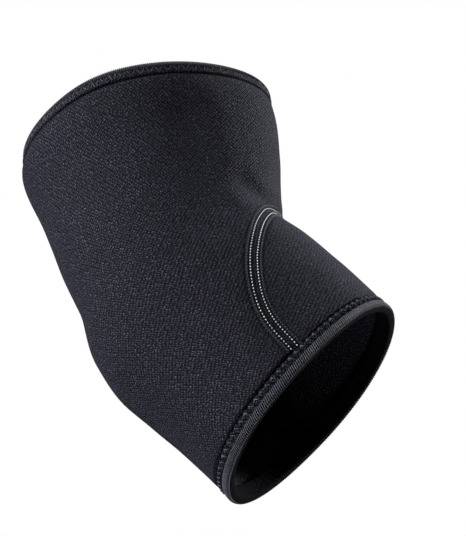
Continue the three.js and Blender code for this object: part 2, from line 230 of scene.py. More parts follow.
class Sleeve:
    """The sleeve's form on the bent arm: along is the way down the arm from the centre of the
    elbow, angle is 0 at the crook, a quarter turn on the -Y side and a half turn at the point of
    the elbow."""

    simpson_steps = 16
    aside_steps = 8
    table_rows, table_columns, crook_column = 180, 480, 180
    seam_turn = math.radians(94.2)

    def __init__(self, sizes):
        self.sizes = sizes
        self.bend = sizes.bend
        self.bend_length = 1.5 * sizes.bend * (sizes.front_reach + sizes.crook_radius)
        self.upper_line = sizes.upper_hem - sizes.upper_length
        self.lower_line = sizes.forearm_length - sizes.lower_hem
        self.rows = {key: np.array(column) for key, column in zip(SECTION_COLUMNS, zip(*SECTIONS))}
        whole = self.travel(np.array(self.bend_length / 2))
        self.bend_reach = whole[1] / (1 + math.cos(self.bend))
        self.make_cloth_tables()
        self.make_seam()
        self.fold_paths = [self.fold_path(fold) for fold in named_rows(FOLD_COLUMNS, FOLDS)]

    def column(self, key, place):
        """One column of the table of sections at any place, never overshooting its rows."""
        at, value = self.rows["place"], self.rows[key]
        secant = np.diff(value) / np.diff(at)
        before, after = secant[:-1], secant[1:]
        both = np.where(before * after > 0, 2 * before * after, 0)
        inner = both / np.where(before * after > 0, before + after, 1)
        slope = np.concatenate([secant[:1], inner, secant[-1:]])
        i = np.searchsorted(at[1:-1], place, side="left")
        span = at[i + 1] - at[i]
        return smooth_course((place - at[i]) / span, value[i], value[i + 1], slope[i] * span,
                             slope[i + 1] * span)

    def turned(self, along):
        t = np.clip(along / self.bend_length + 0.5, 0, 1)
        return self.bend * t * t * (3 - 2 * t)

    def travel(self, along):
        """How far the centre line goes forward and down from the start of the bend."""
        way = along + self.bend_length / 2
        steps = np.linspace(0, 1, self.simpson_steps + 1)
        weights = np.where(np.arange(steps.size) % 2, 4.0, 2.0)
        weights[[0, -1]] = 1
        weights /= 3 * self.simpson_steps
        angle = self.turned(np.multiply.outer(way, steps) - self.bend_length / 2)
        return way * (np.sin(angle) @ weights), way * (np.cos(angle) @ weights)

    def centre(self, along):
        in_bend = np.clip(along, -self.bend_length / 2, self.bend_length / 2)
        forward, down = self.travel(in_bend)
        rest, angle = along - in_bend, self.turned(along)
        x = forward + rest * np.sin(angle)
        z = self.bend_reach - down - rest * np.cos(angle)
        return x, z, angle

    def plain(self, along, angle):
        """Points of the sleeve without folds."""
        along, angle = np.broadcast_arrays(np.asarray(along, float), np.asarray(angle, float))
        sizes = self.sizes
        place = along / np.where(along < 0, sizes.upper_length, sizes.forearm_length)
        x, z, turn = self.centre(along)
        front = np.cos(angle) > 0
        reach = np.where(front, sizes.front_reach * self.column("front", place),
                         sizes.back_reach * self.column("back", place))
        fullness = np.where(front, self.column("front_fullness", place),
                            self.column("back_fullness", place))
        bulge = 1 + fullness * np.sin(2 * angle) ** 2
        depth = reach * np.cos(angle) * bulge
        width = sizes.side_reach * self.column("side", place) * np.sin(angle) * bulge
        return np.stack([x + depth * np.cos(turn), -width, z + depth * np.sin(turn)], -1)

    def directions(self, along, angle):
        """The surface's two directions, per metre along and per radian round."""
        step, turn = 0.5 * MM, 0.01
        down = self.plain(along + step, angle) - self.plain(along - step, angle)
        round_arm = self.plain(along, angle + turn) - self.plain(along, angle - turn)
        return down / (2 * step), round_arm / (2 * turn)

    def outward(self, along, angle):
        down, round_arm = self.directions(along, angle)
        normal = np.cross(round_arm, down)
        return normal / np.linalg.norm(normal, axis=-1, keepdims=True)

    def make_cloth_tables(self):
        """Lengths on the surface, round from the crook and along from the upper edge, for UVs."""
        self.table_along = (np.arange(self.table_rows + 1) - self.table_rows / 2) * MM
        self.table_angle = np.radians(np.arange(self.table_columns + 1.0) - self.crook_column)
        points = self.plain(self.table_along[:, None], self.table_angle[None, :])
        across = np.linalg.norm(np.diff(points, axis=1), axis=-1)
        down = np.linalg.norm(np.diff(points, axis=0), axis=-1)
        self.table_round = np.pad(np.cumsum(across, axis=1), ((0, 0), (1, 0)))
        self.table_round -= self.table_round[:, self.crook_column, None]
        self.table_down = np.pad(np.cumsum(down, axis=0), ((1, 0), (0, 0)))

    def cloth_lengths(self, along, angle):
        """UV coordinates in metres of cloth: the way round and the way down."""
        row = np.clip((along - self.table_along[0]) / MM, 0, self.table_rows - 0.001)
        col = np.clip(np.degrees(angle) + self.crook_column, 0, self.table_columns - 0.001)
        i, k = row.astype(int), col.astype(int)
        r, c = row - i, col - k

        def at(table):
            upper = table[i, k] * (1 - c) + table[i, k + 1] * c
            lower = table[i + 1, k] * (1 - c) + table[i + 1, k + 1] * c
            return upper * (1 - r) + lower * r

        return at(self.table_round), at(self.table_down)

    def make_seam(self, steps=240):
        """The seam's middle line from the hem on the +Y side over the crook to the -Y side."""
        half = np.array(SEAM_COURSE) * (self.lower_line, self.seam_turn)
        far = half[:0:-1] * (1, -1)
        points = np.concatenate([far, half]) * (1, self.sizes.side_reach)
        points = np.concatenate([
            2 * points[:1] - points[1:2], points, 2 * points[-1:] - points[-2:-1]])
        dense = []
        for p0, p1, p2, p3 in zip(points, points[1:], points[2:], points[3:]):
            d0, d1, d2 = (
                math.sqrt(np.linalg.norm(b - a)) for a, b in ((p0, p1), (p1, p2), (p2, p3)))
            start = ((p1 - p0) / d0 - (p2 - p0) / (d0 + d1) + (p2 - p1) / d1) * d1
            end = ((p2 - p1) / d1 - (p3 - p1) / (d1 + d2) + (p3 - p2) / d2) * d1
            t = np.linspace(0, 1, 80, endpoint=False)[:, None]
            dense.append(smooth_course(t, p1, p2, start, end))
        dense.append(points[-2:-1])
        dense = np.concatenate(dense) / (1, self.sizes.side_reach)
        on_arm = self.plain(dense[:, 0], dense[:, 1])
        length = np.concatenate([[0], np.cumsum(np.linalg.norm(np.diff(on_arm, axis=0), axis=1))])
        self.seam_length = length[-1]
        self.seam_ways = np.linspace(0, length[-1], steps + 1)
        self.seam_dense = length, dense
        self.seam = self.seam_at(self.seam_ways)
        self.seam_path = self.plain(*self.seam.T)

    def seam_at(self, way):
        """Places on the seam's middle line at lengths along it."""
        length, dense = self.seam_dense
        return np.stack([np.interp(way, length, dense[:, k]) for k in (0, 1)], -1)

    def beside_seam(self, way, offset, at_hem=True):
        """Places beside the seam: positive offsets lie on the main panel's side."""
        way = np.asarray(way, float)
        reach = 0.8 * MM
        before = self.seam_at(np.maximum(way - reach, 0))
        after = self.seam_at(np.minimum(way + reach, self.seam_length))
        along, angle = self.seam_at(way).T
        for _ in range(self.aside_steps):
            down, round_arm = self.directions(along, angle)
            course = down * (after - before)[:, :1] + round_arm * (after - before)[:, 1:]
            aside = np.cross(course, np.cross(round_arm, down))
            aside /= np.linalg.norm(aside, axis=-1, keepdims=True)
            aside = aside * np.broadcast_to(offset, way.shape)[:, None] / self.aside_steps
            dd, rr = (down * down).sum(-1), (round_arm * round_arm).sum(-1)
            dr = (down * round_arm).sum(-1)
            ad, ar = (aside * down).sum(-1), (aside * round_arm).sum(-1)
            scale = dd * rr - dr * dr
            along = along + (ad * rr - ar * dr) / scale
            angle = angle + (ar * dd - ad * dr) / scale
        along = np.minimum(along, self.lower_line)
        if at_hem:
            along[[0, -1]] = self.lower_line
        return along, angle

    def fold_path(self, fold):
        """A fold's middle line: places along and round, and points."""
        share = np.linspace(0, 1, 9)
        along = mix(fold["place"], fold["to_place"], share) * self.sizes.upper_length
        angle = np.radians(mix(fold["angle"], fold["to_angle"], share))
        return along, angle, self.plain(along, angle), fold

    def relief(self, along, angle, points):
        """How far folds, the seam's valley and the hems lift the cloth or sink it."""
        near_side = np.where(points[..., 1:2] > 0, points * (1, -1, 1), points)
        near_angle = np.abs((angle + math.pi) % TAU - math.pi)
        height = np.zeros(points.shape[:-1])
        for path_along, path_angle, path, fold in self.fold_paths:
            away, share = distance_to_path(near_side, path)
            run, turned = path_along[-1] - path_along[0], path_angle[-1] - path_angle[0]
            side = turned * (along - path_along[0]) - run * (near_angle - path_angle[0])
            width = np.where(side > 0, fold["above"], fold["below"]) * self.sizes.side_reach
            rise = fold["height"] * self.sizes.wall * smoothstep(share, 0, fold["fade"])
            height += rise * bell(away, width)
        away, _ = distance_to_path(points, self.seam_path)
        beside_seam = 1 - smoothstep(away, 3.6 * MM, 8.5 * MM)
        height = height * (1 - 0.6 * beside_seam) - 0.2 * MM * beside_seam
        for middle, depth, width in SEAM_VALLEYS:
            height -= depth * MM * bell(away - middle * MM, width * MM)
        height -= 0.5 * MM * bell(along - self.upper_line, 1.5 * MM)
        height -= 0.3 * MM * bell(along - self.lower_line, 1.5 * MM)
        return height

    def shade(self, along, angle):
        """How deep a place lies in a crease, from 0 to 1: painted shade that darkens the cloth
        there.
        """
        away, _ = distance_to_path(self.plain(along, angle), self.seam_path)
        # Painted shade along the seam and along the creases of both hems.
        seam = 0.95 * (1 - smoothstep(away, 3.7 * MM, 5.2 * MM))
        upper = 0.9 * bell(along - self.upper_line, 0.6 * MM)
        lower = 0.4 * bell(along - self.lower_line, 0.7 * MM)
        # A soft painted shade on the cloth within 17 mm of the seam below the centre of the elbow.
        inside = 0.3 * (1 - smoothstep(away, 4 * MM, 17 * MM)) * (along > 0)
        return np.clip(seam + upper + lower + inside, 0, 1)

    def swell(self, points):
        """Slow unevenness of stretched cloth."""
        flat = points.reshape(-1, 3)
        slow = [noise.noise(Vector(p) * 38) + 0.5 * noise.noise(Vector(p) * 95) for p in flat]
        return 0.28 * MM * np.array(slow).reshape(points.shape[:-1])

    def cloth(self, along, angle, lift=0.0):
        """Points that lie lift above the outside of the panels."""
        points = self.plain(along, angle)
        height = self.relief(along, angle, points) + self.swell(points) + lift
        return points + self.outward(along, angle) * height[..., None]


def named_rows(columns, rows):
    return [dict(zip(columns, row)) for row in rows]


def mix(a, b, share):
    return a + (b - a) * share


def smoothstep(value, low, high):
    t = np.clip((value - low) / (high - low), 0, 1)
    return t * t * (3 - 2 * t)


def bell(away, width):
    return np.exp(-((away / width) ** 2))


def smooth_course(t, start, end, start_slope, end_slope):
    """Cubic from start to end with the given slopes, for t from 0 to 1."""
    return ((2 * t**3 - 3 * t**2 + 1) * start + (t**3 - 2 * t**2 + t) * start_slope
            + (3 * t**2 - 2 * t**3) * end + (t**3 - t**2) * end_slope)


def distance_to_path(points, path):
    """Distances in space from points to a line of straight pieces, and how far along the line the
    nearest place is, as a share."""
    flat = points.reshape(-1, 3)
    found = np.full(len(flat), np.inf)
    passed = np.zeros(len(flat))
    for i, (start, end) in enumerate(zip(path, path[1:])):
        run = end - start
        share = np.clip((flat - start) @ run / (run @ run), 0, 1)
        away = np.linalg.norm(flat - start - share[:, None] * run, axis=1)
        passed = np.where(away < found, (i + share) / (len(path) - 1), passed)
        found = np.minimum(found, away)
    return found.reshape(points.shape[:-1]), passed.reshape(points.shape[:-1])


# Shader nodes

class Wire:
    """A node's output, for shaders written as sums."""

    def __init__(self, nodes, socket):
        self.nodes = nodes
        self.socket = socket

    def math(self, operation, *others):
        return self.nodes.add("ShaderNodeMath", {"operation": operation}, self, *others)[0]

    def __add__(self, other):
        return self.math("ADD", other)

    __radd__ = __add__

    def __mul__(self, other):
        return self.math("MULTIPLY", other)

    __rmul__ = __mul__

    def __sub__(self, other):
        return self.math("SUBTRACT", other)

    def __rsub__(self, other):
        return self.nodes.add("ShaderNodeMath", {"operation": "SUBTRACT"}, other, self)[0]

    def clamp(self):
        return self.nodes.add("ShaderNodeClamp", {}, self)[0]

    def ramp(self, low, high):
        """0 up to low, 1 from high, smooth between."""
        node = self.nodes.add(
            "ShaderNodeMapRange", {"interpolation_type": "SMOOTHSTEP"},
            **{"Value": self, "From Min": low, "From Max": high})
        return node[0]


class Nodes:
    """The node tree of one material, or of the world."""

    def __init__(self, owner):
        owner.use_nodes = True
        self.tree = owner.node_tree
        self.tree.nodes.clear()

    def add(self, kind, settings, *values, **named):
        """Makes a node: settings first, then the values or links of its sockets."""
        node = self.tree.nodes.new(kind)
        for key, value in settings.items():
            setattr(node, key, value)
        for index, value in enumerate(values):
            self.connect(node.inputs[index], value)
        for name, value in named.items():
            self.connect(node.inputs[name], value)
        return [Wire(self, socket) for socket in node.outputs]

    def connect(self, socket, value):
        if isinstance(value, Wire):
            self.tree.links.new(value.socket, socket)
        else:
            socket.default_value = value

    def blend(self, share, a, b):
        """A colour between a and b."""
        node = self.tree.nodes.new("ShaderNodeMix")
        node.data_type = "RGBA"
        for socket, value in zip((node.inputs[0], node.inputs[6], node.inputs[7]), (share, a, b)):
            self.connect(socket, value)
        return Wire(self, node.outputs[2])

    def noise(self, vector, scale, detail):
        return self.add("ShaderNodeTexNoise", {}, **{
            "Vector": vector, "Scale": scale, "Detail": detail, "Roughness": 0.5})[0]

    def bump(self, height, distance, strength):
        return self.add("ShaderNodeBump", {}, **{
            "Height": height, "Distance": distance, "Strength": strength})[0]

    def finish(self, **inputs):
        shader = self.add("ShaderNodeBsdfPrincipled", {}, **inputs)[0]
        self.add("ShaderNodeOutputMaterial", {}, shader)


def rgba(parts):
    return (*(min(part, 1.0) for part in parts), 1.0)


def knit_material(name, context, gloss=1.0):
    """Fine warp knit: stitches in a diagonal grid, each of its own brightness, over hollows, with
    painted shade in the creases.
    """
    colours = context.scene.brace_colours
    stitches = 1 / context.scene.brace_stitches.knit_pitch
    material = bpy.data.materials.new(name)
    nodes = Nodes(material)
    cloth = nodes.add("ShaderNodeUVMap", {"uv_map": CLOTH_UV})[0]
    place = nodes.add("ShaderNodeTexCoord", {})[3]
    # The painted shade of the creases, read from the mesh.
    crease = nodes.add("ShaderNodeAttribute", {"attribute_name": CREASE_SHADE})[2]
    grid = nodes.add("ShaderNodeMapping", {}, **{
        "Vector": cloth, "Rotation": (0, 0, math.radians(45)), "Scale": (stitches, stitches, 1)})
    away, cell = nodes.add(
        "ShaderNodeTexVoronoi", {"voronoi_dimensions": "2D", "feature": "F1"},
        **{"Vector": grid[0], "Scale": 1.0, "Randomness": 0.45})[:2]
    red, green = nodes.add("ShaderNodeSeparateColor", {}, cell)[:2]
    stitch = 1 - away.ramp(0.1, 0.5)
    grain = nodes.noise(cloth, 2000.0, 1.0)
    patches = nodes.noise(place, 34.0, 3.0)
    speckle = grain.ramp(0.38, 0.66)
    light = ((stitch * (red * 0.75 + 0.6) * 0.95 + 0.08) * (speckle * 1.9 + 0.12)
             * (patches * 0.3 + 0.85)).clamp()
    base = nodes.blend(light, rgba(colours.hollow), rgba(colours.knit))
    flecks = (green.ramp(0.75, 0.95) * stitch * speckle).clamp()
    flecked = nodes.blend(flecks * 0.45, base, rgba(colours.fleck))
    height = stitch + speckle * 0.4
    nodes.finish(**{
        # Painted shade darkens the knit towards black in the creases.
        "Base Color": nodes.blend((crease * 0.9).clamp(), flecked, PAINTED_SHADE_BLACK),
        "Roughness": 0.9 - light * 0.25,
        "Normal": nodes.bump(height, 0.22 * MM, 1.0),
        "Specular IOR Level": 0.12 * gloss,
        "Sheen Weight": 0.05 * gloss,
        "Sheen Roughness": 0.4,
        "Sheen Tint": (0.72, 0.75, 1.0, 1.0),
    })
    return material


def thread_material(name, middle, unevenness=0.8):
    """Spun thread of one colour in the middle of its range, with fine fibres."""
    material = bpy.data.materials.new(name)
    nodes = Nodes(material)
    place = nodes.add("ShaderNodeTexCoord", {})[3]
    fibres = nodes.noise(place, 4200.0, 2.0)
    patches = nodes.noise(place, 260.0, 2.0)
    light = ((fibres - 0.5) * 0.9 + (patches - 0.5) * unevenness + 0.5).clamp()
    dark = rgba(max(0.9 - 0.35 * unevenness, 0.25) * c for c in middle)
    bright = rgba(1.25 * c for c in middle)
    nodes.finish(**{
        "Base Color": nodes.blend(light, dark, bright),
        "Roughness": (fibres - 0.5) * 0.2 + 0.55,
        "Normal": nodes.bump(fibres, 0.05 * MM, 0.6),
        "Sheen Weight": 0.1,
        "Sheen Roughness": 0.5,
    })
    return material


def floor_material(name):
    material = bpy.data.materials.new(name)
    nodes = Nodes(material)
    place = nodes.add("ShaderNodeTexCoord", {})[3]
    patches = nodes.noise(place, 3.0, 2.0)
    nodes.finish(**{
        "Base Color": nodes.blend(patches, (0.80, 0.80, 0.80, 1), (0.84, 0.84, 0.84, 1)),
        "Roughness": 0.85,
        "Specular IOR Level": 0.2,
        "Emission Color": (0.9, 0.92, 0.95, 1.0),
        "Emission Strength": 0.6,
    })
    return material


# Meshes

def sheet_grid(bm, points, lengths, shade):
    """Adds a grid of cloth. points is rows by columns by 3, the rows running down the arm and the
    columns round it. lengths holds the two UV coordinates of each point, shade its painted crease
    shade."""
    rows, columns = points.shape[:2]
    cloth = bm.loops.layers.uv.verify()
    # Layer that holds the painted shade of each corner.
    crease = bm.verts.layers.float.get(CREASE_SHADE) or bm.verts.layers.float.new(CREASE_SHADE)
    cloth_faces = len(bm.faces)
    made = bmesh.ops.create_grid(bm, x_segments=columns - 1, y_segments=rows - 1, size=0.5)
    if len(made["verts"]) != rows * columns:
        raise RuntimeError("the grid of cloth has the wrong number of corners")
    places = {}
    for vert in made["verts"]:
        col = round((vert.co.x + 0.5) * (columns - 1))
        row = round((vert.co.y + 0.5) * (rows - 1))
        places[vert] = row, col
        vert.co = points[row, col]
        vert[crease] = shade[row, col]
    bm.faces.ensure_lookup_table()
    for face in bm.faces[cloth_faces:]:
        face.smooth = True
        for loop in face.loops:
            row, col = places[loop.vert]
            loop[cloth].uv = (lengths[0][row, col], lengths[1][row, col])


def finished_mesh(bm, name):
    mesh = bpy.data.meshes.new(name)
    bm.to_mesh(mesh)
    bm.free()
    return mesh


def add_piece(context, name, mesh, material, replaced):
    piece = bpy.data.objects.new(name, mesh)
    context.scene.collection.objects.link(piece)
    mesh.materials.clear()
    mesh.materials.append(material)
    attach(piece, BODY)
    if replaced:
        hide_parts(replaced)
    return piece


def cloth_piece(context, name, grids, material, replaced, wall=None):
    """Grids of cloth joined along their common edges. Open cloth is given its wall's thickness,
    and a hem is a closed tube without one."""
    bm = bmesh.new()
    for grid in grids:
        sheet_grid(bm, *grid)
    bmesh.ops.remove_doubles(bm, verts=bm.verts, dist=WELD)
    if wall is None:
        bmesh.ops.recalc_face_normals(bm, faces=bm.faces)
    mesh = finished_mesh(bm, name)
    mesh.uv_layers[0].name = CLOTH_UV
    piece = add_piece(context, name, mesh, material, replaced)
    if wall is not None:
        thicken = piece.modifiers.new("wall", "SOLIDIFY")
        thicken.thickness = wall
        thicken.offset = -1
    return piece


def thread_piece(context, name, lines, thickness, material, replaced=None):
    """Threads as thin round tubes, one for each line of points with its shares of the
    thickness."""
    curve = bpy.data.curves.new(name, "CURVE")
    curve.dimensions = "3D"
    curve.bevel_depth = thickness / 2
    curve.bevel_resolution = 1
    curve.use_fill_caps = True
    for points, shares in lines:
        spline = curve.splines.new("POLY")
        spline.points.add(len(points) - 1)
        padded = np.concatenate([points, np.ones((len(points), 1))], 1)
        spline.points.foreach_set("co", padded.ravel())
        spline.points.foreach_set("radius", np.asarray(shares, float))
    source = bpy.data.objects.new(name + "_lines", curve)
    context.scene.collection.objects.link(source)
    context.view_layer.update()
    tubes = bpy.data.meshes.new_from_object(
        source.evaluated_get(context.evaluated_depsgraph_get()))
    bm = bmesh.new()
    bm.from_mesh(tubes)
    bpy.data.batch_remove((source, curve, tubes))
    bmesh.ops.remove_doubles(bm, verts=bm.verts, dist=WELD)
    bmesh.ops.recalc_face_normals(bm, faces=bm.faces)
    for face in bm.faces:
        face.smooth = True
    return add_piece(context, name, finished_mesh(bm, name), material, replaced)


# A stitch's four points: shares of its length, rises as shares of its thickness, and thickness.
STITCH_STEPS = np.array([-0.5, -0.22, 0.22, 0.5])
STITCH_LIFTS = np.array([-0.55, 0.12, 0.12, -0.55])
STITCH_SHARES = (0.45, 1.0, 1.0, 0.45)


def stitch_row(sleeve, offset, pitch, stitch, thickness, lift):
    """Short stitches on a line beside the seam, sunk at their ends."""
    whole = sleeve.seam_length
    count = int(whole / pitch)
    middles = (np.arange(count) + 0.5) * whole / count
    ways = np.clip((middles[:, None] + STITCH_STEPS * stitch).ravel(), 0, whole)
    along, angle = sleeve.beside_seam(ways, offset, at_hem=False)
    points = sleeve.cloth(along, angle, np.tile(STITCH_LIFTS * thickness + lift, count))
    return [(line, STITCH_SHARES) for line in points.reshape(count, 4, 3)]


def zigzag_row(sleeve, pitch, first, second, lift, share):
    """A thread that goes to and fro between two lines beside the seam."""
    ways = np.linspace(0, sleeve.seam_length, 2 * int(sleeve.seam_length / pitch) + 1)
    offset = np.where(np.arange(ways.size) % 2, second, first)
    along, angle = sleeve.beside_seam(ways, offset, at_hem=False)
    return sleeve.cloth(along, angle, np.full(ways.shape, lift)), np.full(ways.size, share)


def main_panel_grids(sleeve, band=8.0 * MM, rows=90, back_steps=120):
    """The cloth from the upper hem down to the band beside the seam, then that band. Its rows lie
    closer together towards the seam."""
    ways = sleeve.seam_ways
    border = sleeve.beside_seam(ways, band)
    near_end, far_end = border[1][-1], border[1][0] + TAU
    behind = near_end + (far_end - near_end) * np.arange(1, back_steps + 1) / back_steps
    lower_along = np.concatenate([border[0], np.full(back_steps, sleeve.lower_line)])
    lower_angle = np.concatenate([border[1], behind])
    points = sleeve.plain(lower_along, lower_angle)
    lengths = np.linalg.norm(np.diff(points, axis=0), axis=1)
    passed = np.concatenate([[0], np.cumsum(lengths)])
    arch = passed[(len(ways) - 1) // 2]
    upper_angle = (passed - arch) / passed[-1] * TAU
    share = np.linspace(0, 1, rows + 1)[:, None]
    along = mix(sleeve.upper_line, lower_along[None, :], share)
    angle = mix(upper_angle[None, :], lower_angle[None, :], share)
    yield along, angle
    offsets = np.concatenate([np.linspace(band, 4.6 * MM, 8), np.arange(4.2, 0.2, -0.35) * MM,
                              [sleeve.sizes.gap / 2]])
    strip = [sleeve.beside_seam(ways, offset) for offset in offsets]
    yield np.stack(strip, axis=1)


def crook_panel_grids(sleeve, band=5.6 * MM):
    """The band beside the seam, then the cloth between its arch, its sides and the lower hem."""
    ways = sleeve.seam_ways
    steps = len(ways) - 1
    sides, arch = steps // 4, steps // 2
    offsets = np.concatenate([[sleeve.sizes.gap / 2], np.arange(0.4, 4.3, 0.35) * MM,
                              [4.6 * MM, 5.1 * MM, band]])
    strip = [sleeve.beside_seam(ways, -offset) for offset in offsets]
    yield np.stack(strip, axis=1)
    grids = []
    for border, hem in zip(strip[-1], (sleeve.lower_line, None)):
        first, last = border[0], border[-1]
        bottom = np.linspace(first, last, arch + 1) if hem is None else np.full(arch + 1, hem)
        top = border[sides:sides + arch + 1]
        left = border[sides::-1][:, None]
        right = border[sides + arch:][:, None]
        v = np.linspace(0, 1, sides + 1)[:, None]
        u = np.linspace(0, 1, arch + 1)[None, :]
        corners = mix(mix(top[0], top[-1], u), mix(bottom[0], bottom[-1], u), v)
        grids.append(mix(top[None, :], bottom[None, :], v) + mix(left, right, u) - corners)
    yield grids[0], grids[1]


class HemShape:
    """Cross-section of a hem: a run of places along the arm and lifts above the cloth's outside,
    from the crease beside the panels over the free edge to the crease inside."""

    columns = 900

    def __init__(self, sleeve, start, end, outer, inner, crease, shoulder, nose, square):
        self.sleeve = sleeve
        half = (outer - inner) / 2
        middle = (outer + inner) / 2
        inwards = math.copysign(1, start - end)
        rise = np.linspace(0, 1, 7)
        outside_along = start - inwards * shoulder * rise
        outside_lift = outer - crease * (1 - np.sin(rise * math.pi / 2))
        turn = np.linspace(0, math.pi, 21)
        power = 2 / square
        nose_along = end + inwards * half * nose * (1 - np.abs(np.sin(turn)) ** power)
        nose_lift = middle + half * np.sign(np.cos(turn)) * np.abs(np.cos(turn)) ** power
        flat = np.linspace(outside_along[-1], nose_along[0], 16)[1:-1]
        back = np.linspace(nose_along[-1], start, 12)[1:]
        self.along = np.concatenate([outside_along, flat, nose_along, back])
        self.lift = np.concatenate([outside_lift, np.full(flat.size, outer), nose_lift,
                                    np.full(back.size, inner)])
        steps = np.hypot(np.diff(self.along), np.diff(self.lift))
        self.way = np.concatenate([[0], np.cumsum(steps)])
        self.length = self.way[-1]
        slope = np.stack([np.gradient(self.along, self.way), np.gradient(self.lift, self.way)])
        slope /= np.linalg.norm(slope, axis=0)
        self.normal = np.stack([slope[1] * inwards, -slope[0] * inwards])
        first = len(rise) + flat.size
        self.edge_way = self.way[first]
        self.nose_way = self.way[first + turn.size // 2]
        self.far_way = self.way[first + turn.size - 1]

    def points(self, way, angle, above=0.0):
        """Points on the hem, above its surface, at a way over its cross-section."""
        along = np.interp(way, self.way, self.along)
        lift = np.interp(way, self.way, self.lift)
        along = along + np.interp(way, self.way, self.normal[0]) * above
        lift = lift + np.interp(way, self.way, self.normal[1]) * above
        plain = self.sleeve.plain(along, angle)
        return plain + self.sleeve.outward(along, angle) * np.asarray(lift)[..., None]

    def ring(self, dents, pitch, crease_shade_width, ribs_from, end_shade):
        """Grid of cloth all round, pressed in at the dents. Painted shade darkens it in the
        creases, in the dents and under the ribs, and paints the inner half of the end black."""
        angle = np.linspace(-math.pi, math.pi, self.columns + 1)[None, :]
        closed = np.append(self.way, self.way[0])
        way = closed[:, None] + np.zeros_like(angle)
        round_arm, _ = self.sleeve.cloth_lengths(np.full(angle.shape, self.along[0]), angle)
        whole = round_arm[0, -1] - round_arm[0, 0]
        pressed = np.zeros(way.shape)
        # Painted shade: dark in both creases and under the ribs, black on the inner half of the
        # end.
        shade = 0.8 * bell(way, crease_shade_width) + 0.9 * bell(way - self.length, crease_shade_width)
        shade += 0.55 * smoothstep(way, ribs_from, ribs_from + MM) * (way < self.far_way)
        shade += end_shade * smoothstep(way, self.nose_way - 1.3 * MM, self.nose_way - 0.4 * MM)
        for dent in named_rows(DENT_COLUMNS, dents):
            count = round(whole / (dent["pitch"] * pitch))
            down = way - dent["way"] * MM
            turns = (round_arm - round_arm[0, 0] + dent["lean"] * down) / whole * count
            aside = (turns - np.round(turns)) * whole / count
            shape = bell(aside, dent["across"] * MM) * bell(down, dent["down"] * MM)
            pressed += dent["depth"] * MM * shape
            # Painted shade in each dent.
            shade += dent["shade"] * shape
        points = self.points(way, angle + 0 * way, -pressed)
        lengths = np.append(self.way, self.length + abs(self.lift[0] - self.lift[-1]))
        return points, (round_arm + 0 * way, lengths[:, None] + 0 * way), np.clip(shade, 0, 1)

    def around(self, pitch):
        """Evenly spaced angles round the arm, and how many radians a metre is at each."""
        angles = np.radians(np.linspace(-180, 180, 721))
        round_arm, _ = self.sleeve.cloth_lengths(np.full(angles.shape, self.along[0]), angles)
        count = round((round_arm[-1] - round_arm[0]) / pitch)
        at = np.linspace(round_arm[0], round_arm[-1], count, endpoint=False)
        angle = np.interp(at, round_arm, angles)
        return angle, np.interp(angle, angles, np.gradient(angles, round_arm))

    def loops(self, pitch, start, end, steps, slant, thickness, proud):
        """Threads from one way over the cross-section to another, leaning by slant. They rise out
        of the cloth within the first millimetre."""
        angles, per_metre = self.around(pitch)
        ways = np.linspace(start, end, steps)
        angle = angles[:, None] + ((ways - start) * slant)[None, :] * per_metre[:, None]
        sunk = 0.6 * (1 - smoothstep(ways, start, start + MM))
        above = (proud - sunk) * thickness + 0 * angle
        return [(line, np.ones(steps)) for line in self.points(ways + 0 * angle, angle, above)]

    def strokes(self, pitch, rows):
        """Straight stitches, a set all round for each row of STROKE_COLUMNS."""
        angles, per_metre = self.around(pitch)
        share = np.linspace(0, 1, len(STROKE_RISES))
        lines = []
        for stroke in named_rows(STROKE_COLUMNS, rows):
            ways = mix(stroke["start"], stroke["end"], share) * MM
            aside = (stroke["shift"] + stroke["width"] * (share - 0.5)) * MM
            angle = angles[:, None] + aside[None, :] * per_metre[:, None]
            above = stroke["above"] * MM * STROKE_RISES + 0 * angle
            lines += [(line, STROKE_SHARES)
                      for line in self.points(ways + 0 * angle, angle, above)]
        return lines


def panel_piece(context, name, slot, node, make_grids):
    """One panel of stretched neoprene."""
    sleeve = Sleeve(context.scene.brace_sizes)
    grids = [(sleeve.cloth(along, angle), sleeve.cloth_lengths(along, angle),
              sleeve.shade(along, angle)) for along, angle in make_grids(sleeve)]
    panel = cloth_piece(context, name, grids, knit_material(slot, context), node,
                        sleeve.sizes.wall)
    return {"FINISHED"}


class BRACE_OT_main_panel(bpy.types.Operator):
    """Makes the knitted cloth of the main panel."""

    bl_idname = "brace.main_panel"
    bl_label = "Main panel"

    def execute(self, context):
        return panel_piece(context, "main_panel_cloth", "main_knit", "main_panel",
                           main_panel_grids)


class BRACE_OT_crook_panel(bpy.types.Operator):
    """Makes the knitted cloth of the tongue-shaped panel below the crook."""

    bl_idname = "brace.crook_panel"
    bl_label = "Crook panel"

    def execute(self, context):
        return panel_piece(context, "crook_panel_cloth", "crook_knit", "crook_panel",
                           crook_panel_grids)


class BRACE_OT_seam(bpy.types.Operator):
    """Makes the white needle threads and the grey cover threads of the crook seam."""

    bl_idname = "brace.seam"
    bl_label = "Crook seam"

    def execute(self, context):
        sleeve = Sleeve(context.scene.brace_sizes)
        stitch = context.scene.brace_stitches
        colours = context.scene.brace_colours
        pitch = stitch.needle_pitch
        needle = stitch.needle_rows / 2
        cover, edge = needle + stitch.cover_row, stitch.cover_width / 2
        between = needle - 0.35 * MM
        white, grey = [], []
        for side in (1, -1):
            white += stitch_row(sleeve, side * needle, pitch, 0.38 * pitch,
                                stitch.needle_thread, 0.12 * MM)
            grey += stitch_row(sleeve, side * cover, pitch, 0.5 * pitch,
                               stitch.cover_thread, 0.15 * MM)
            grey.append(zigzag_row(sleeve, pitch, side * cover, side * edge, 0.05 * MM, 0.4))
        grey.append(zigzag_row(sleeve, pitch, -between, between, -0.04 * MM, 0.5))
        thread_piece(context, "seam_needle_threads", white, stitch.needle_thread,
                     thread_material("needle_thread", colours.needle, unevenness=0.25),
                     "crook_seam")
        thread_piece(context, "seam_cover_threads", grey, stitch.cover_thread,
                     thread_material("cover_thread", colours.cover))
        return {"FINISHED"}


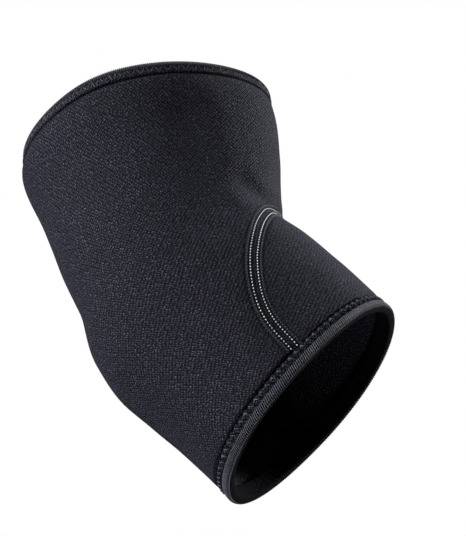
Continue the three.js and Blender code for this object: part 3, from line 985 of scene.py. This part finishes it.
class BRACE_OT_upper_hem(bpy.types.Operator):
    """Makes the overlocked hem at the upper arm with its threads."""

    bl_idname = "brace.upper_hem"
    bl_label = "Upper hem"

    def execute(self, context):
        stitch = context.scene.brace_stitches
        colours = context.scene.brace_colours
        sleeve = Sleeve(context.scene.brace_sizes)
        shape = HemShape(
            sleeve, start=sleeve.upper_line - sleeve.sizes.gap, end=-sleeve.sizes.upper_length,
            outer=0.2 * MM, inner=-sleeve.sizes.wall - 0.3 * MM, crease=0.7 * MM,
            shoulder=1.0 * MM, nose=0.8, square=2.2)
        # Painted shade in the creases, in the dents and under the overlock loops, none on the end.
        ring = shape.ring(UPPER_DENTS, stitch.zigzag_pitch, crease_shade_width=0.4 * MM,
                          ribs_from=shape.edge_way - MM, end_shade=0.0)
        cloth_piece(context, "upper_hem_cloth", [ring], knit_material("upper_hem_knit", context),
                    "upper_hem")
        loops = shape.loops(stitch.overlock_pitch, shape.edge_way - 0.8 * MM,
                            shape.far_way + 0.8 * MM, steps=9, slant=0.12,
                            thickness=stitch.overlock_thread, proud=0.45)
        thread_piece(context, "upper_hem_loops", loops, stitch.overlock_thread,
                     thread_material("upper_overlock", colours.overlock))
        strokes = shape.strokes(stitch.zigzag_pitch, UPPER_STROKES)
        thread_piece(context, "upper_hem_zigzag", strokes, stitch.zigzag_thread,
                     thread_material("upper_zigzag", colours.upper_zigzag, unevenness=2.4))
        return {"FINISHED"}


class BRACE_OT_lower_hem(bpy.types.Operator):
    """Makes the turned-in hem at the forearm with its threads."""

    bl_idname = "brace.lower_hem"
    bl_label = "Lower hem"

    def execute(self, context):
        stitch = context.scene.brace_stitches
        colours = context.scene.brace_colours
        sleeve = Sleeve(context.scene.brace_sizes)
        shape = HemShape(
            sleeve, start=sleeve.lower_line + sleeve.sizes.gap, end=sleeve.sizes.forearm_length,
            outer=0.15 * MM, inner=0.6 * MM - 1.7 * sleeve.sizes.wall, crease=0.6 * MM,
            shoulder=1.1 * MM, nose=0.62, square=2.7)
        # Painted shade in the creases, in the dents and under the ribs, and black on the inner
        # half of the end.
        ring = shape.ring(LOWER_DENTS, stitch.lower_pitch, crease_shade_width=0.35 * MM,
                          ribs_from=4.4 * MM, end_shade=0.9)
        cloth_piece(context, "lower_hem_cloth", [ring],
                    knit_material("lower_hem_knit", context, gloss=0.3),
                    "lower_hem")
        ribs = shape.loops(stitch.rib_pitch, 4.2 * MM, shape.nose_way - 1.4 * MM, steps=8,
                           slant=0.4, thickness=stitch.rib_width, proud=0.3)
        thread_piece(context, "lower_hem_ribs", ribs, stitch.rib_width,
                     thread_material("lower_ribs", colours.rib, unevenness=1.6))
        edge = shape.edge_way / MM
        strokes = shape.strokes(2 * stitch.rib_pitch, ((edge - 0.5, edge + 0.3, 0.0, 0.15, 0.3),))
        strokes += shape.strokes(stitch.lower_pitch, LOWER_STROKES)
        thread_piece(context, "lower_hem_zigzag", strokes, stitch.zigzag_thread,
                     thread_material("lower_zigzag", colours.lower_zigzag, unevenness=2.4))
        return {"FINISHED"}


def camera_axes(studio):
    """The camera's right, up and backward directions."""
    azimuth, elevation, roll = studio.azimuth, studio.elevation, studio.roll
    back = Vector((math.sin(azimuth) * math.cos(elevation),
                   -math.cos(azimuth) * math.cos(elevation), math.sin(elevation)))
    level = (-back).cross(Vector((0, 0, 1))).normalized()
    upright = level.cross(-back)
    right = level * math.cos(roll) + upright * math.sin(roll)
    up = upright * math.cos(roll) - level * math.sin(roll)
    return right, up, back


class BRACE_OT_studio(bpy.types.Operator):
    """Makes the pale floor, the soft lights and the camera at the photograph's angle."""

    bl_idname = "brace.studio"
    bl_label = "Studio"

    frame_size = (466, 536)
    focal_pixels = 2251.93
    elbow_pixel = (173.853, 288.122)

    def execute(self, context):
        studio = context.scene.brace_studio
        right, up, back = camera_axes(studio)
        width, height = self.frame_size
        scale = studio.distance / self.focal_pixels
        place = (back * studio.distance - right * (self.elbow_pixel[0] - width / 2) * scale
                 + up * (self.elbow_pixel[1] - height / 2) * scale)
        data = bpy.data.cameras.new("camera")
        data.sensor_fit = "AUTO"
        data.sensor_width = 36.0
        data.lens = self.focal_pixels * data.sensor_width / max(self.frame_size)
        data.clip_start = 0.01
        data.clip_end = 50
        camera = bpy.data.objects.new("camera", data)
        turned = Matrix((right, up, back)).transposed().to_4x4()
        camera.matrix_world = Matrix.Translation(place) @ turned
        context.scene.collection.objects.link(camera)
        context.scene.camera = camera
        context.scene.view_settings.view_transform = "Standard"
        self.floor(context, studio)
        self.world(context, studio)
        for name, (aside, above, before, power) in LAMPS.items():
            place = aside * right + above * up + before * back
            self.lamp(context, studio, name, place, power)
        return {"FINISHED"}

    def lamp(self, context, studio, name, place, power):
        data = bpy.data.lights.new(name, "AREA")
        data.shape = "DISK"
        data.size = studio.lamp_width
        data.energy = power
        data.color = (0.93, 0.96, 1.0)
        lamp = bpy.data.objects.new(name, data)
        lamp.location = place.normalized() * studio.lamp_distance
        lamp.rotation_euler = place.to_track_quat("Z", "Y").to_euler()
        context.scene.collection.objects.link(lamp)

    def floor(self, context, studio):
        """A pale floor that glows a little and doesn't light the brace."""
        bm = bmesh.new()
        bmesh.ops.create_grid(bm, x_segments=8, y_segments=8, size=4.0,
                              matrix=Matrix.Translation((0, 0, studio.floor_height)))
        floor = bpy.data.objects.new("floor", finished_mesh(bm, "floor"))
        floor.data.materials.append(floor_material("pale_floor"))
        context.scene.collection.objects.link(floor)
        floor.visible_diffuse = False
        floor.visible_glossy = False

    def world(self, context, studio):
        """White to the camera, and softer as light."""
        world = context.scene.world = bpy.data.worlds.new("studio")
        nodes = Nodes(world)
        seen_by_camera = nodes.add("ShaderNodeLightPath", {})[0]
        soft = nodes.add("ShaderNodeBackground", {}, (0.95, 0.97, 1, 1), studio.ambient)[0]
        white = nodes.add("ShaderNodeBackground", {}, (1, 1, 1, 1), 1.0)[0]
        both = nodes.add("ShaderNodeMixShader", {}, seen_by_camera, soft, white)[0]
        nodes.add("ShaderNodeOutputWorld", {}, both)


class BRACE_PT_panel(bpy.types.Panel):
    """Lists the steps and the sizes."""

    bl_idname = "BRACE_PT_panel"
    bl_label = "Elbow brace"
    bl_space_type = "VIEW_3D"
    bl_region_type = "UI"
    bl_category = "Brace"

    def draw(self, context):
        for operator in OPERATORS:
            self.layout.operator(operator.bl_idname)
        for group in GROUPS:
            settings = getattr(context.scene, group)
            box = self.layout.box()
            for key in settings.__annotations__:
                box.prop(settings, key)


OPERATORS = (BRACE_OT_studio, BRACE_OT_main_panel, BRACE_OT_crook_panel, BRACE_OT_seam,
             BRACE_OT_upper_hem, BRACE_OT_lower_hem)
GROUPS = {
    "brace_sizes": SleeveSizes,
    "brace_stitches": StitchSizes,
    "brace_colours": FabricColours,
    "brace_studio": StudioSettings,
}
CLASSES = (*GROUPS.values(), *OPERATORS, BRACE_PT_panel)


def register():
    for cls in CLASSES:
        bpy.utils.register_class(cls)
    for name, group in GROUPS.items():
        setattr(bpy.types.Scene, name, PointerProperty(type=group))


def unregister():
    for name in GROUPS:
        delattr(bpy.types.Scene, name)
    for cls in reversed(CLASSES):
        bpy.utils.unregister_class(cls)


def main():
    register()
    bpy.ops.brace.studio()
    bpy.ops.brace.main_panel()
    bpy.ops.brace.crook_panel()
    bpy.ops.brace.seam()
    bpy.ops.brace.upper_hem()
    bpy.ops.brace.lower_hem()


if __name__ == "__main__":
    main()
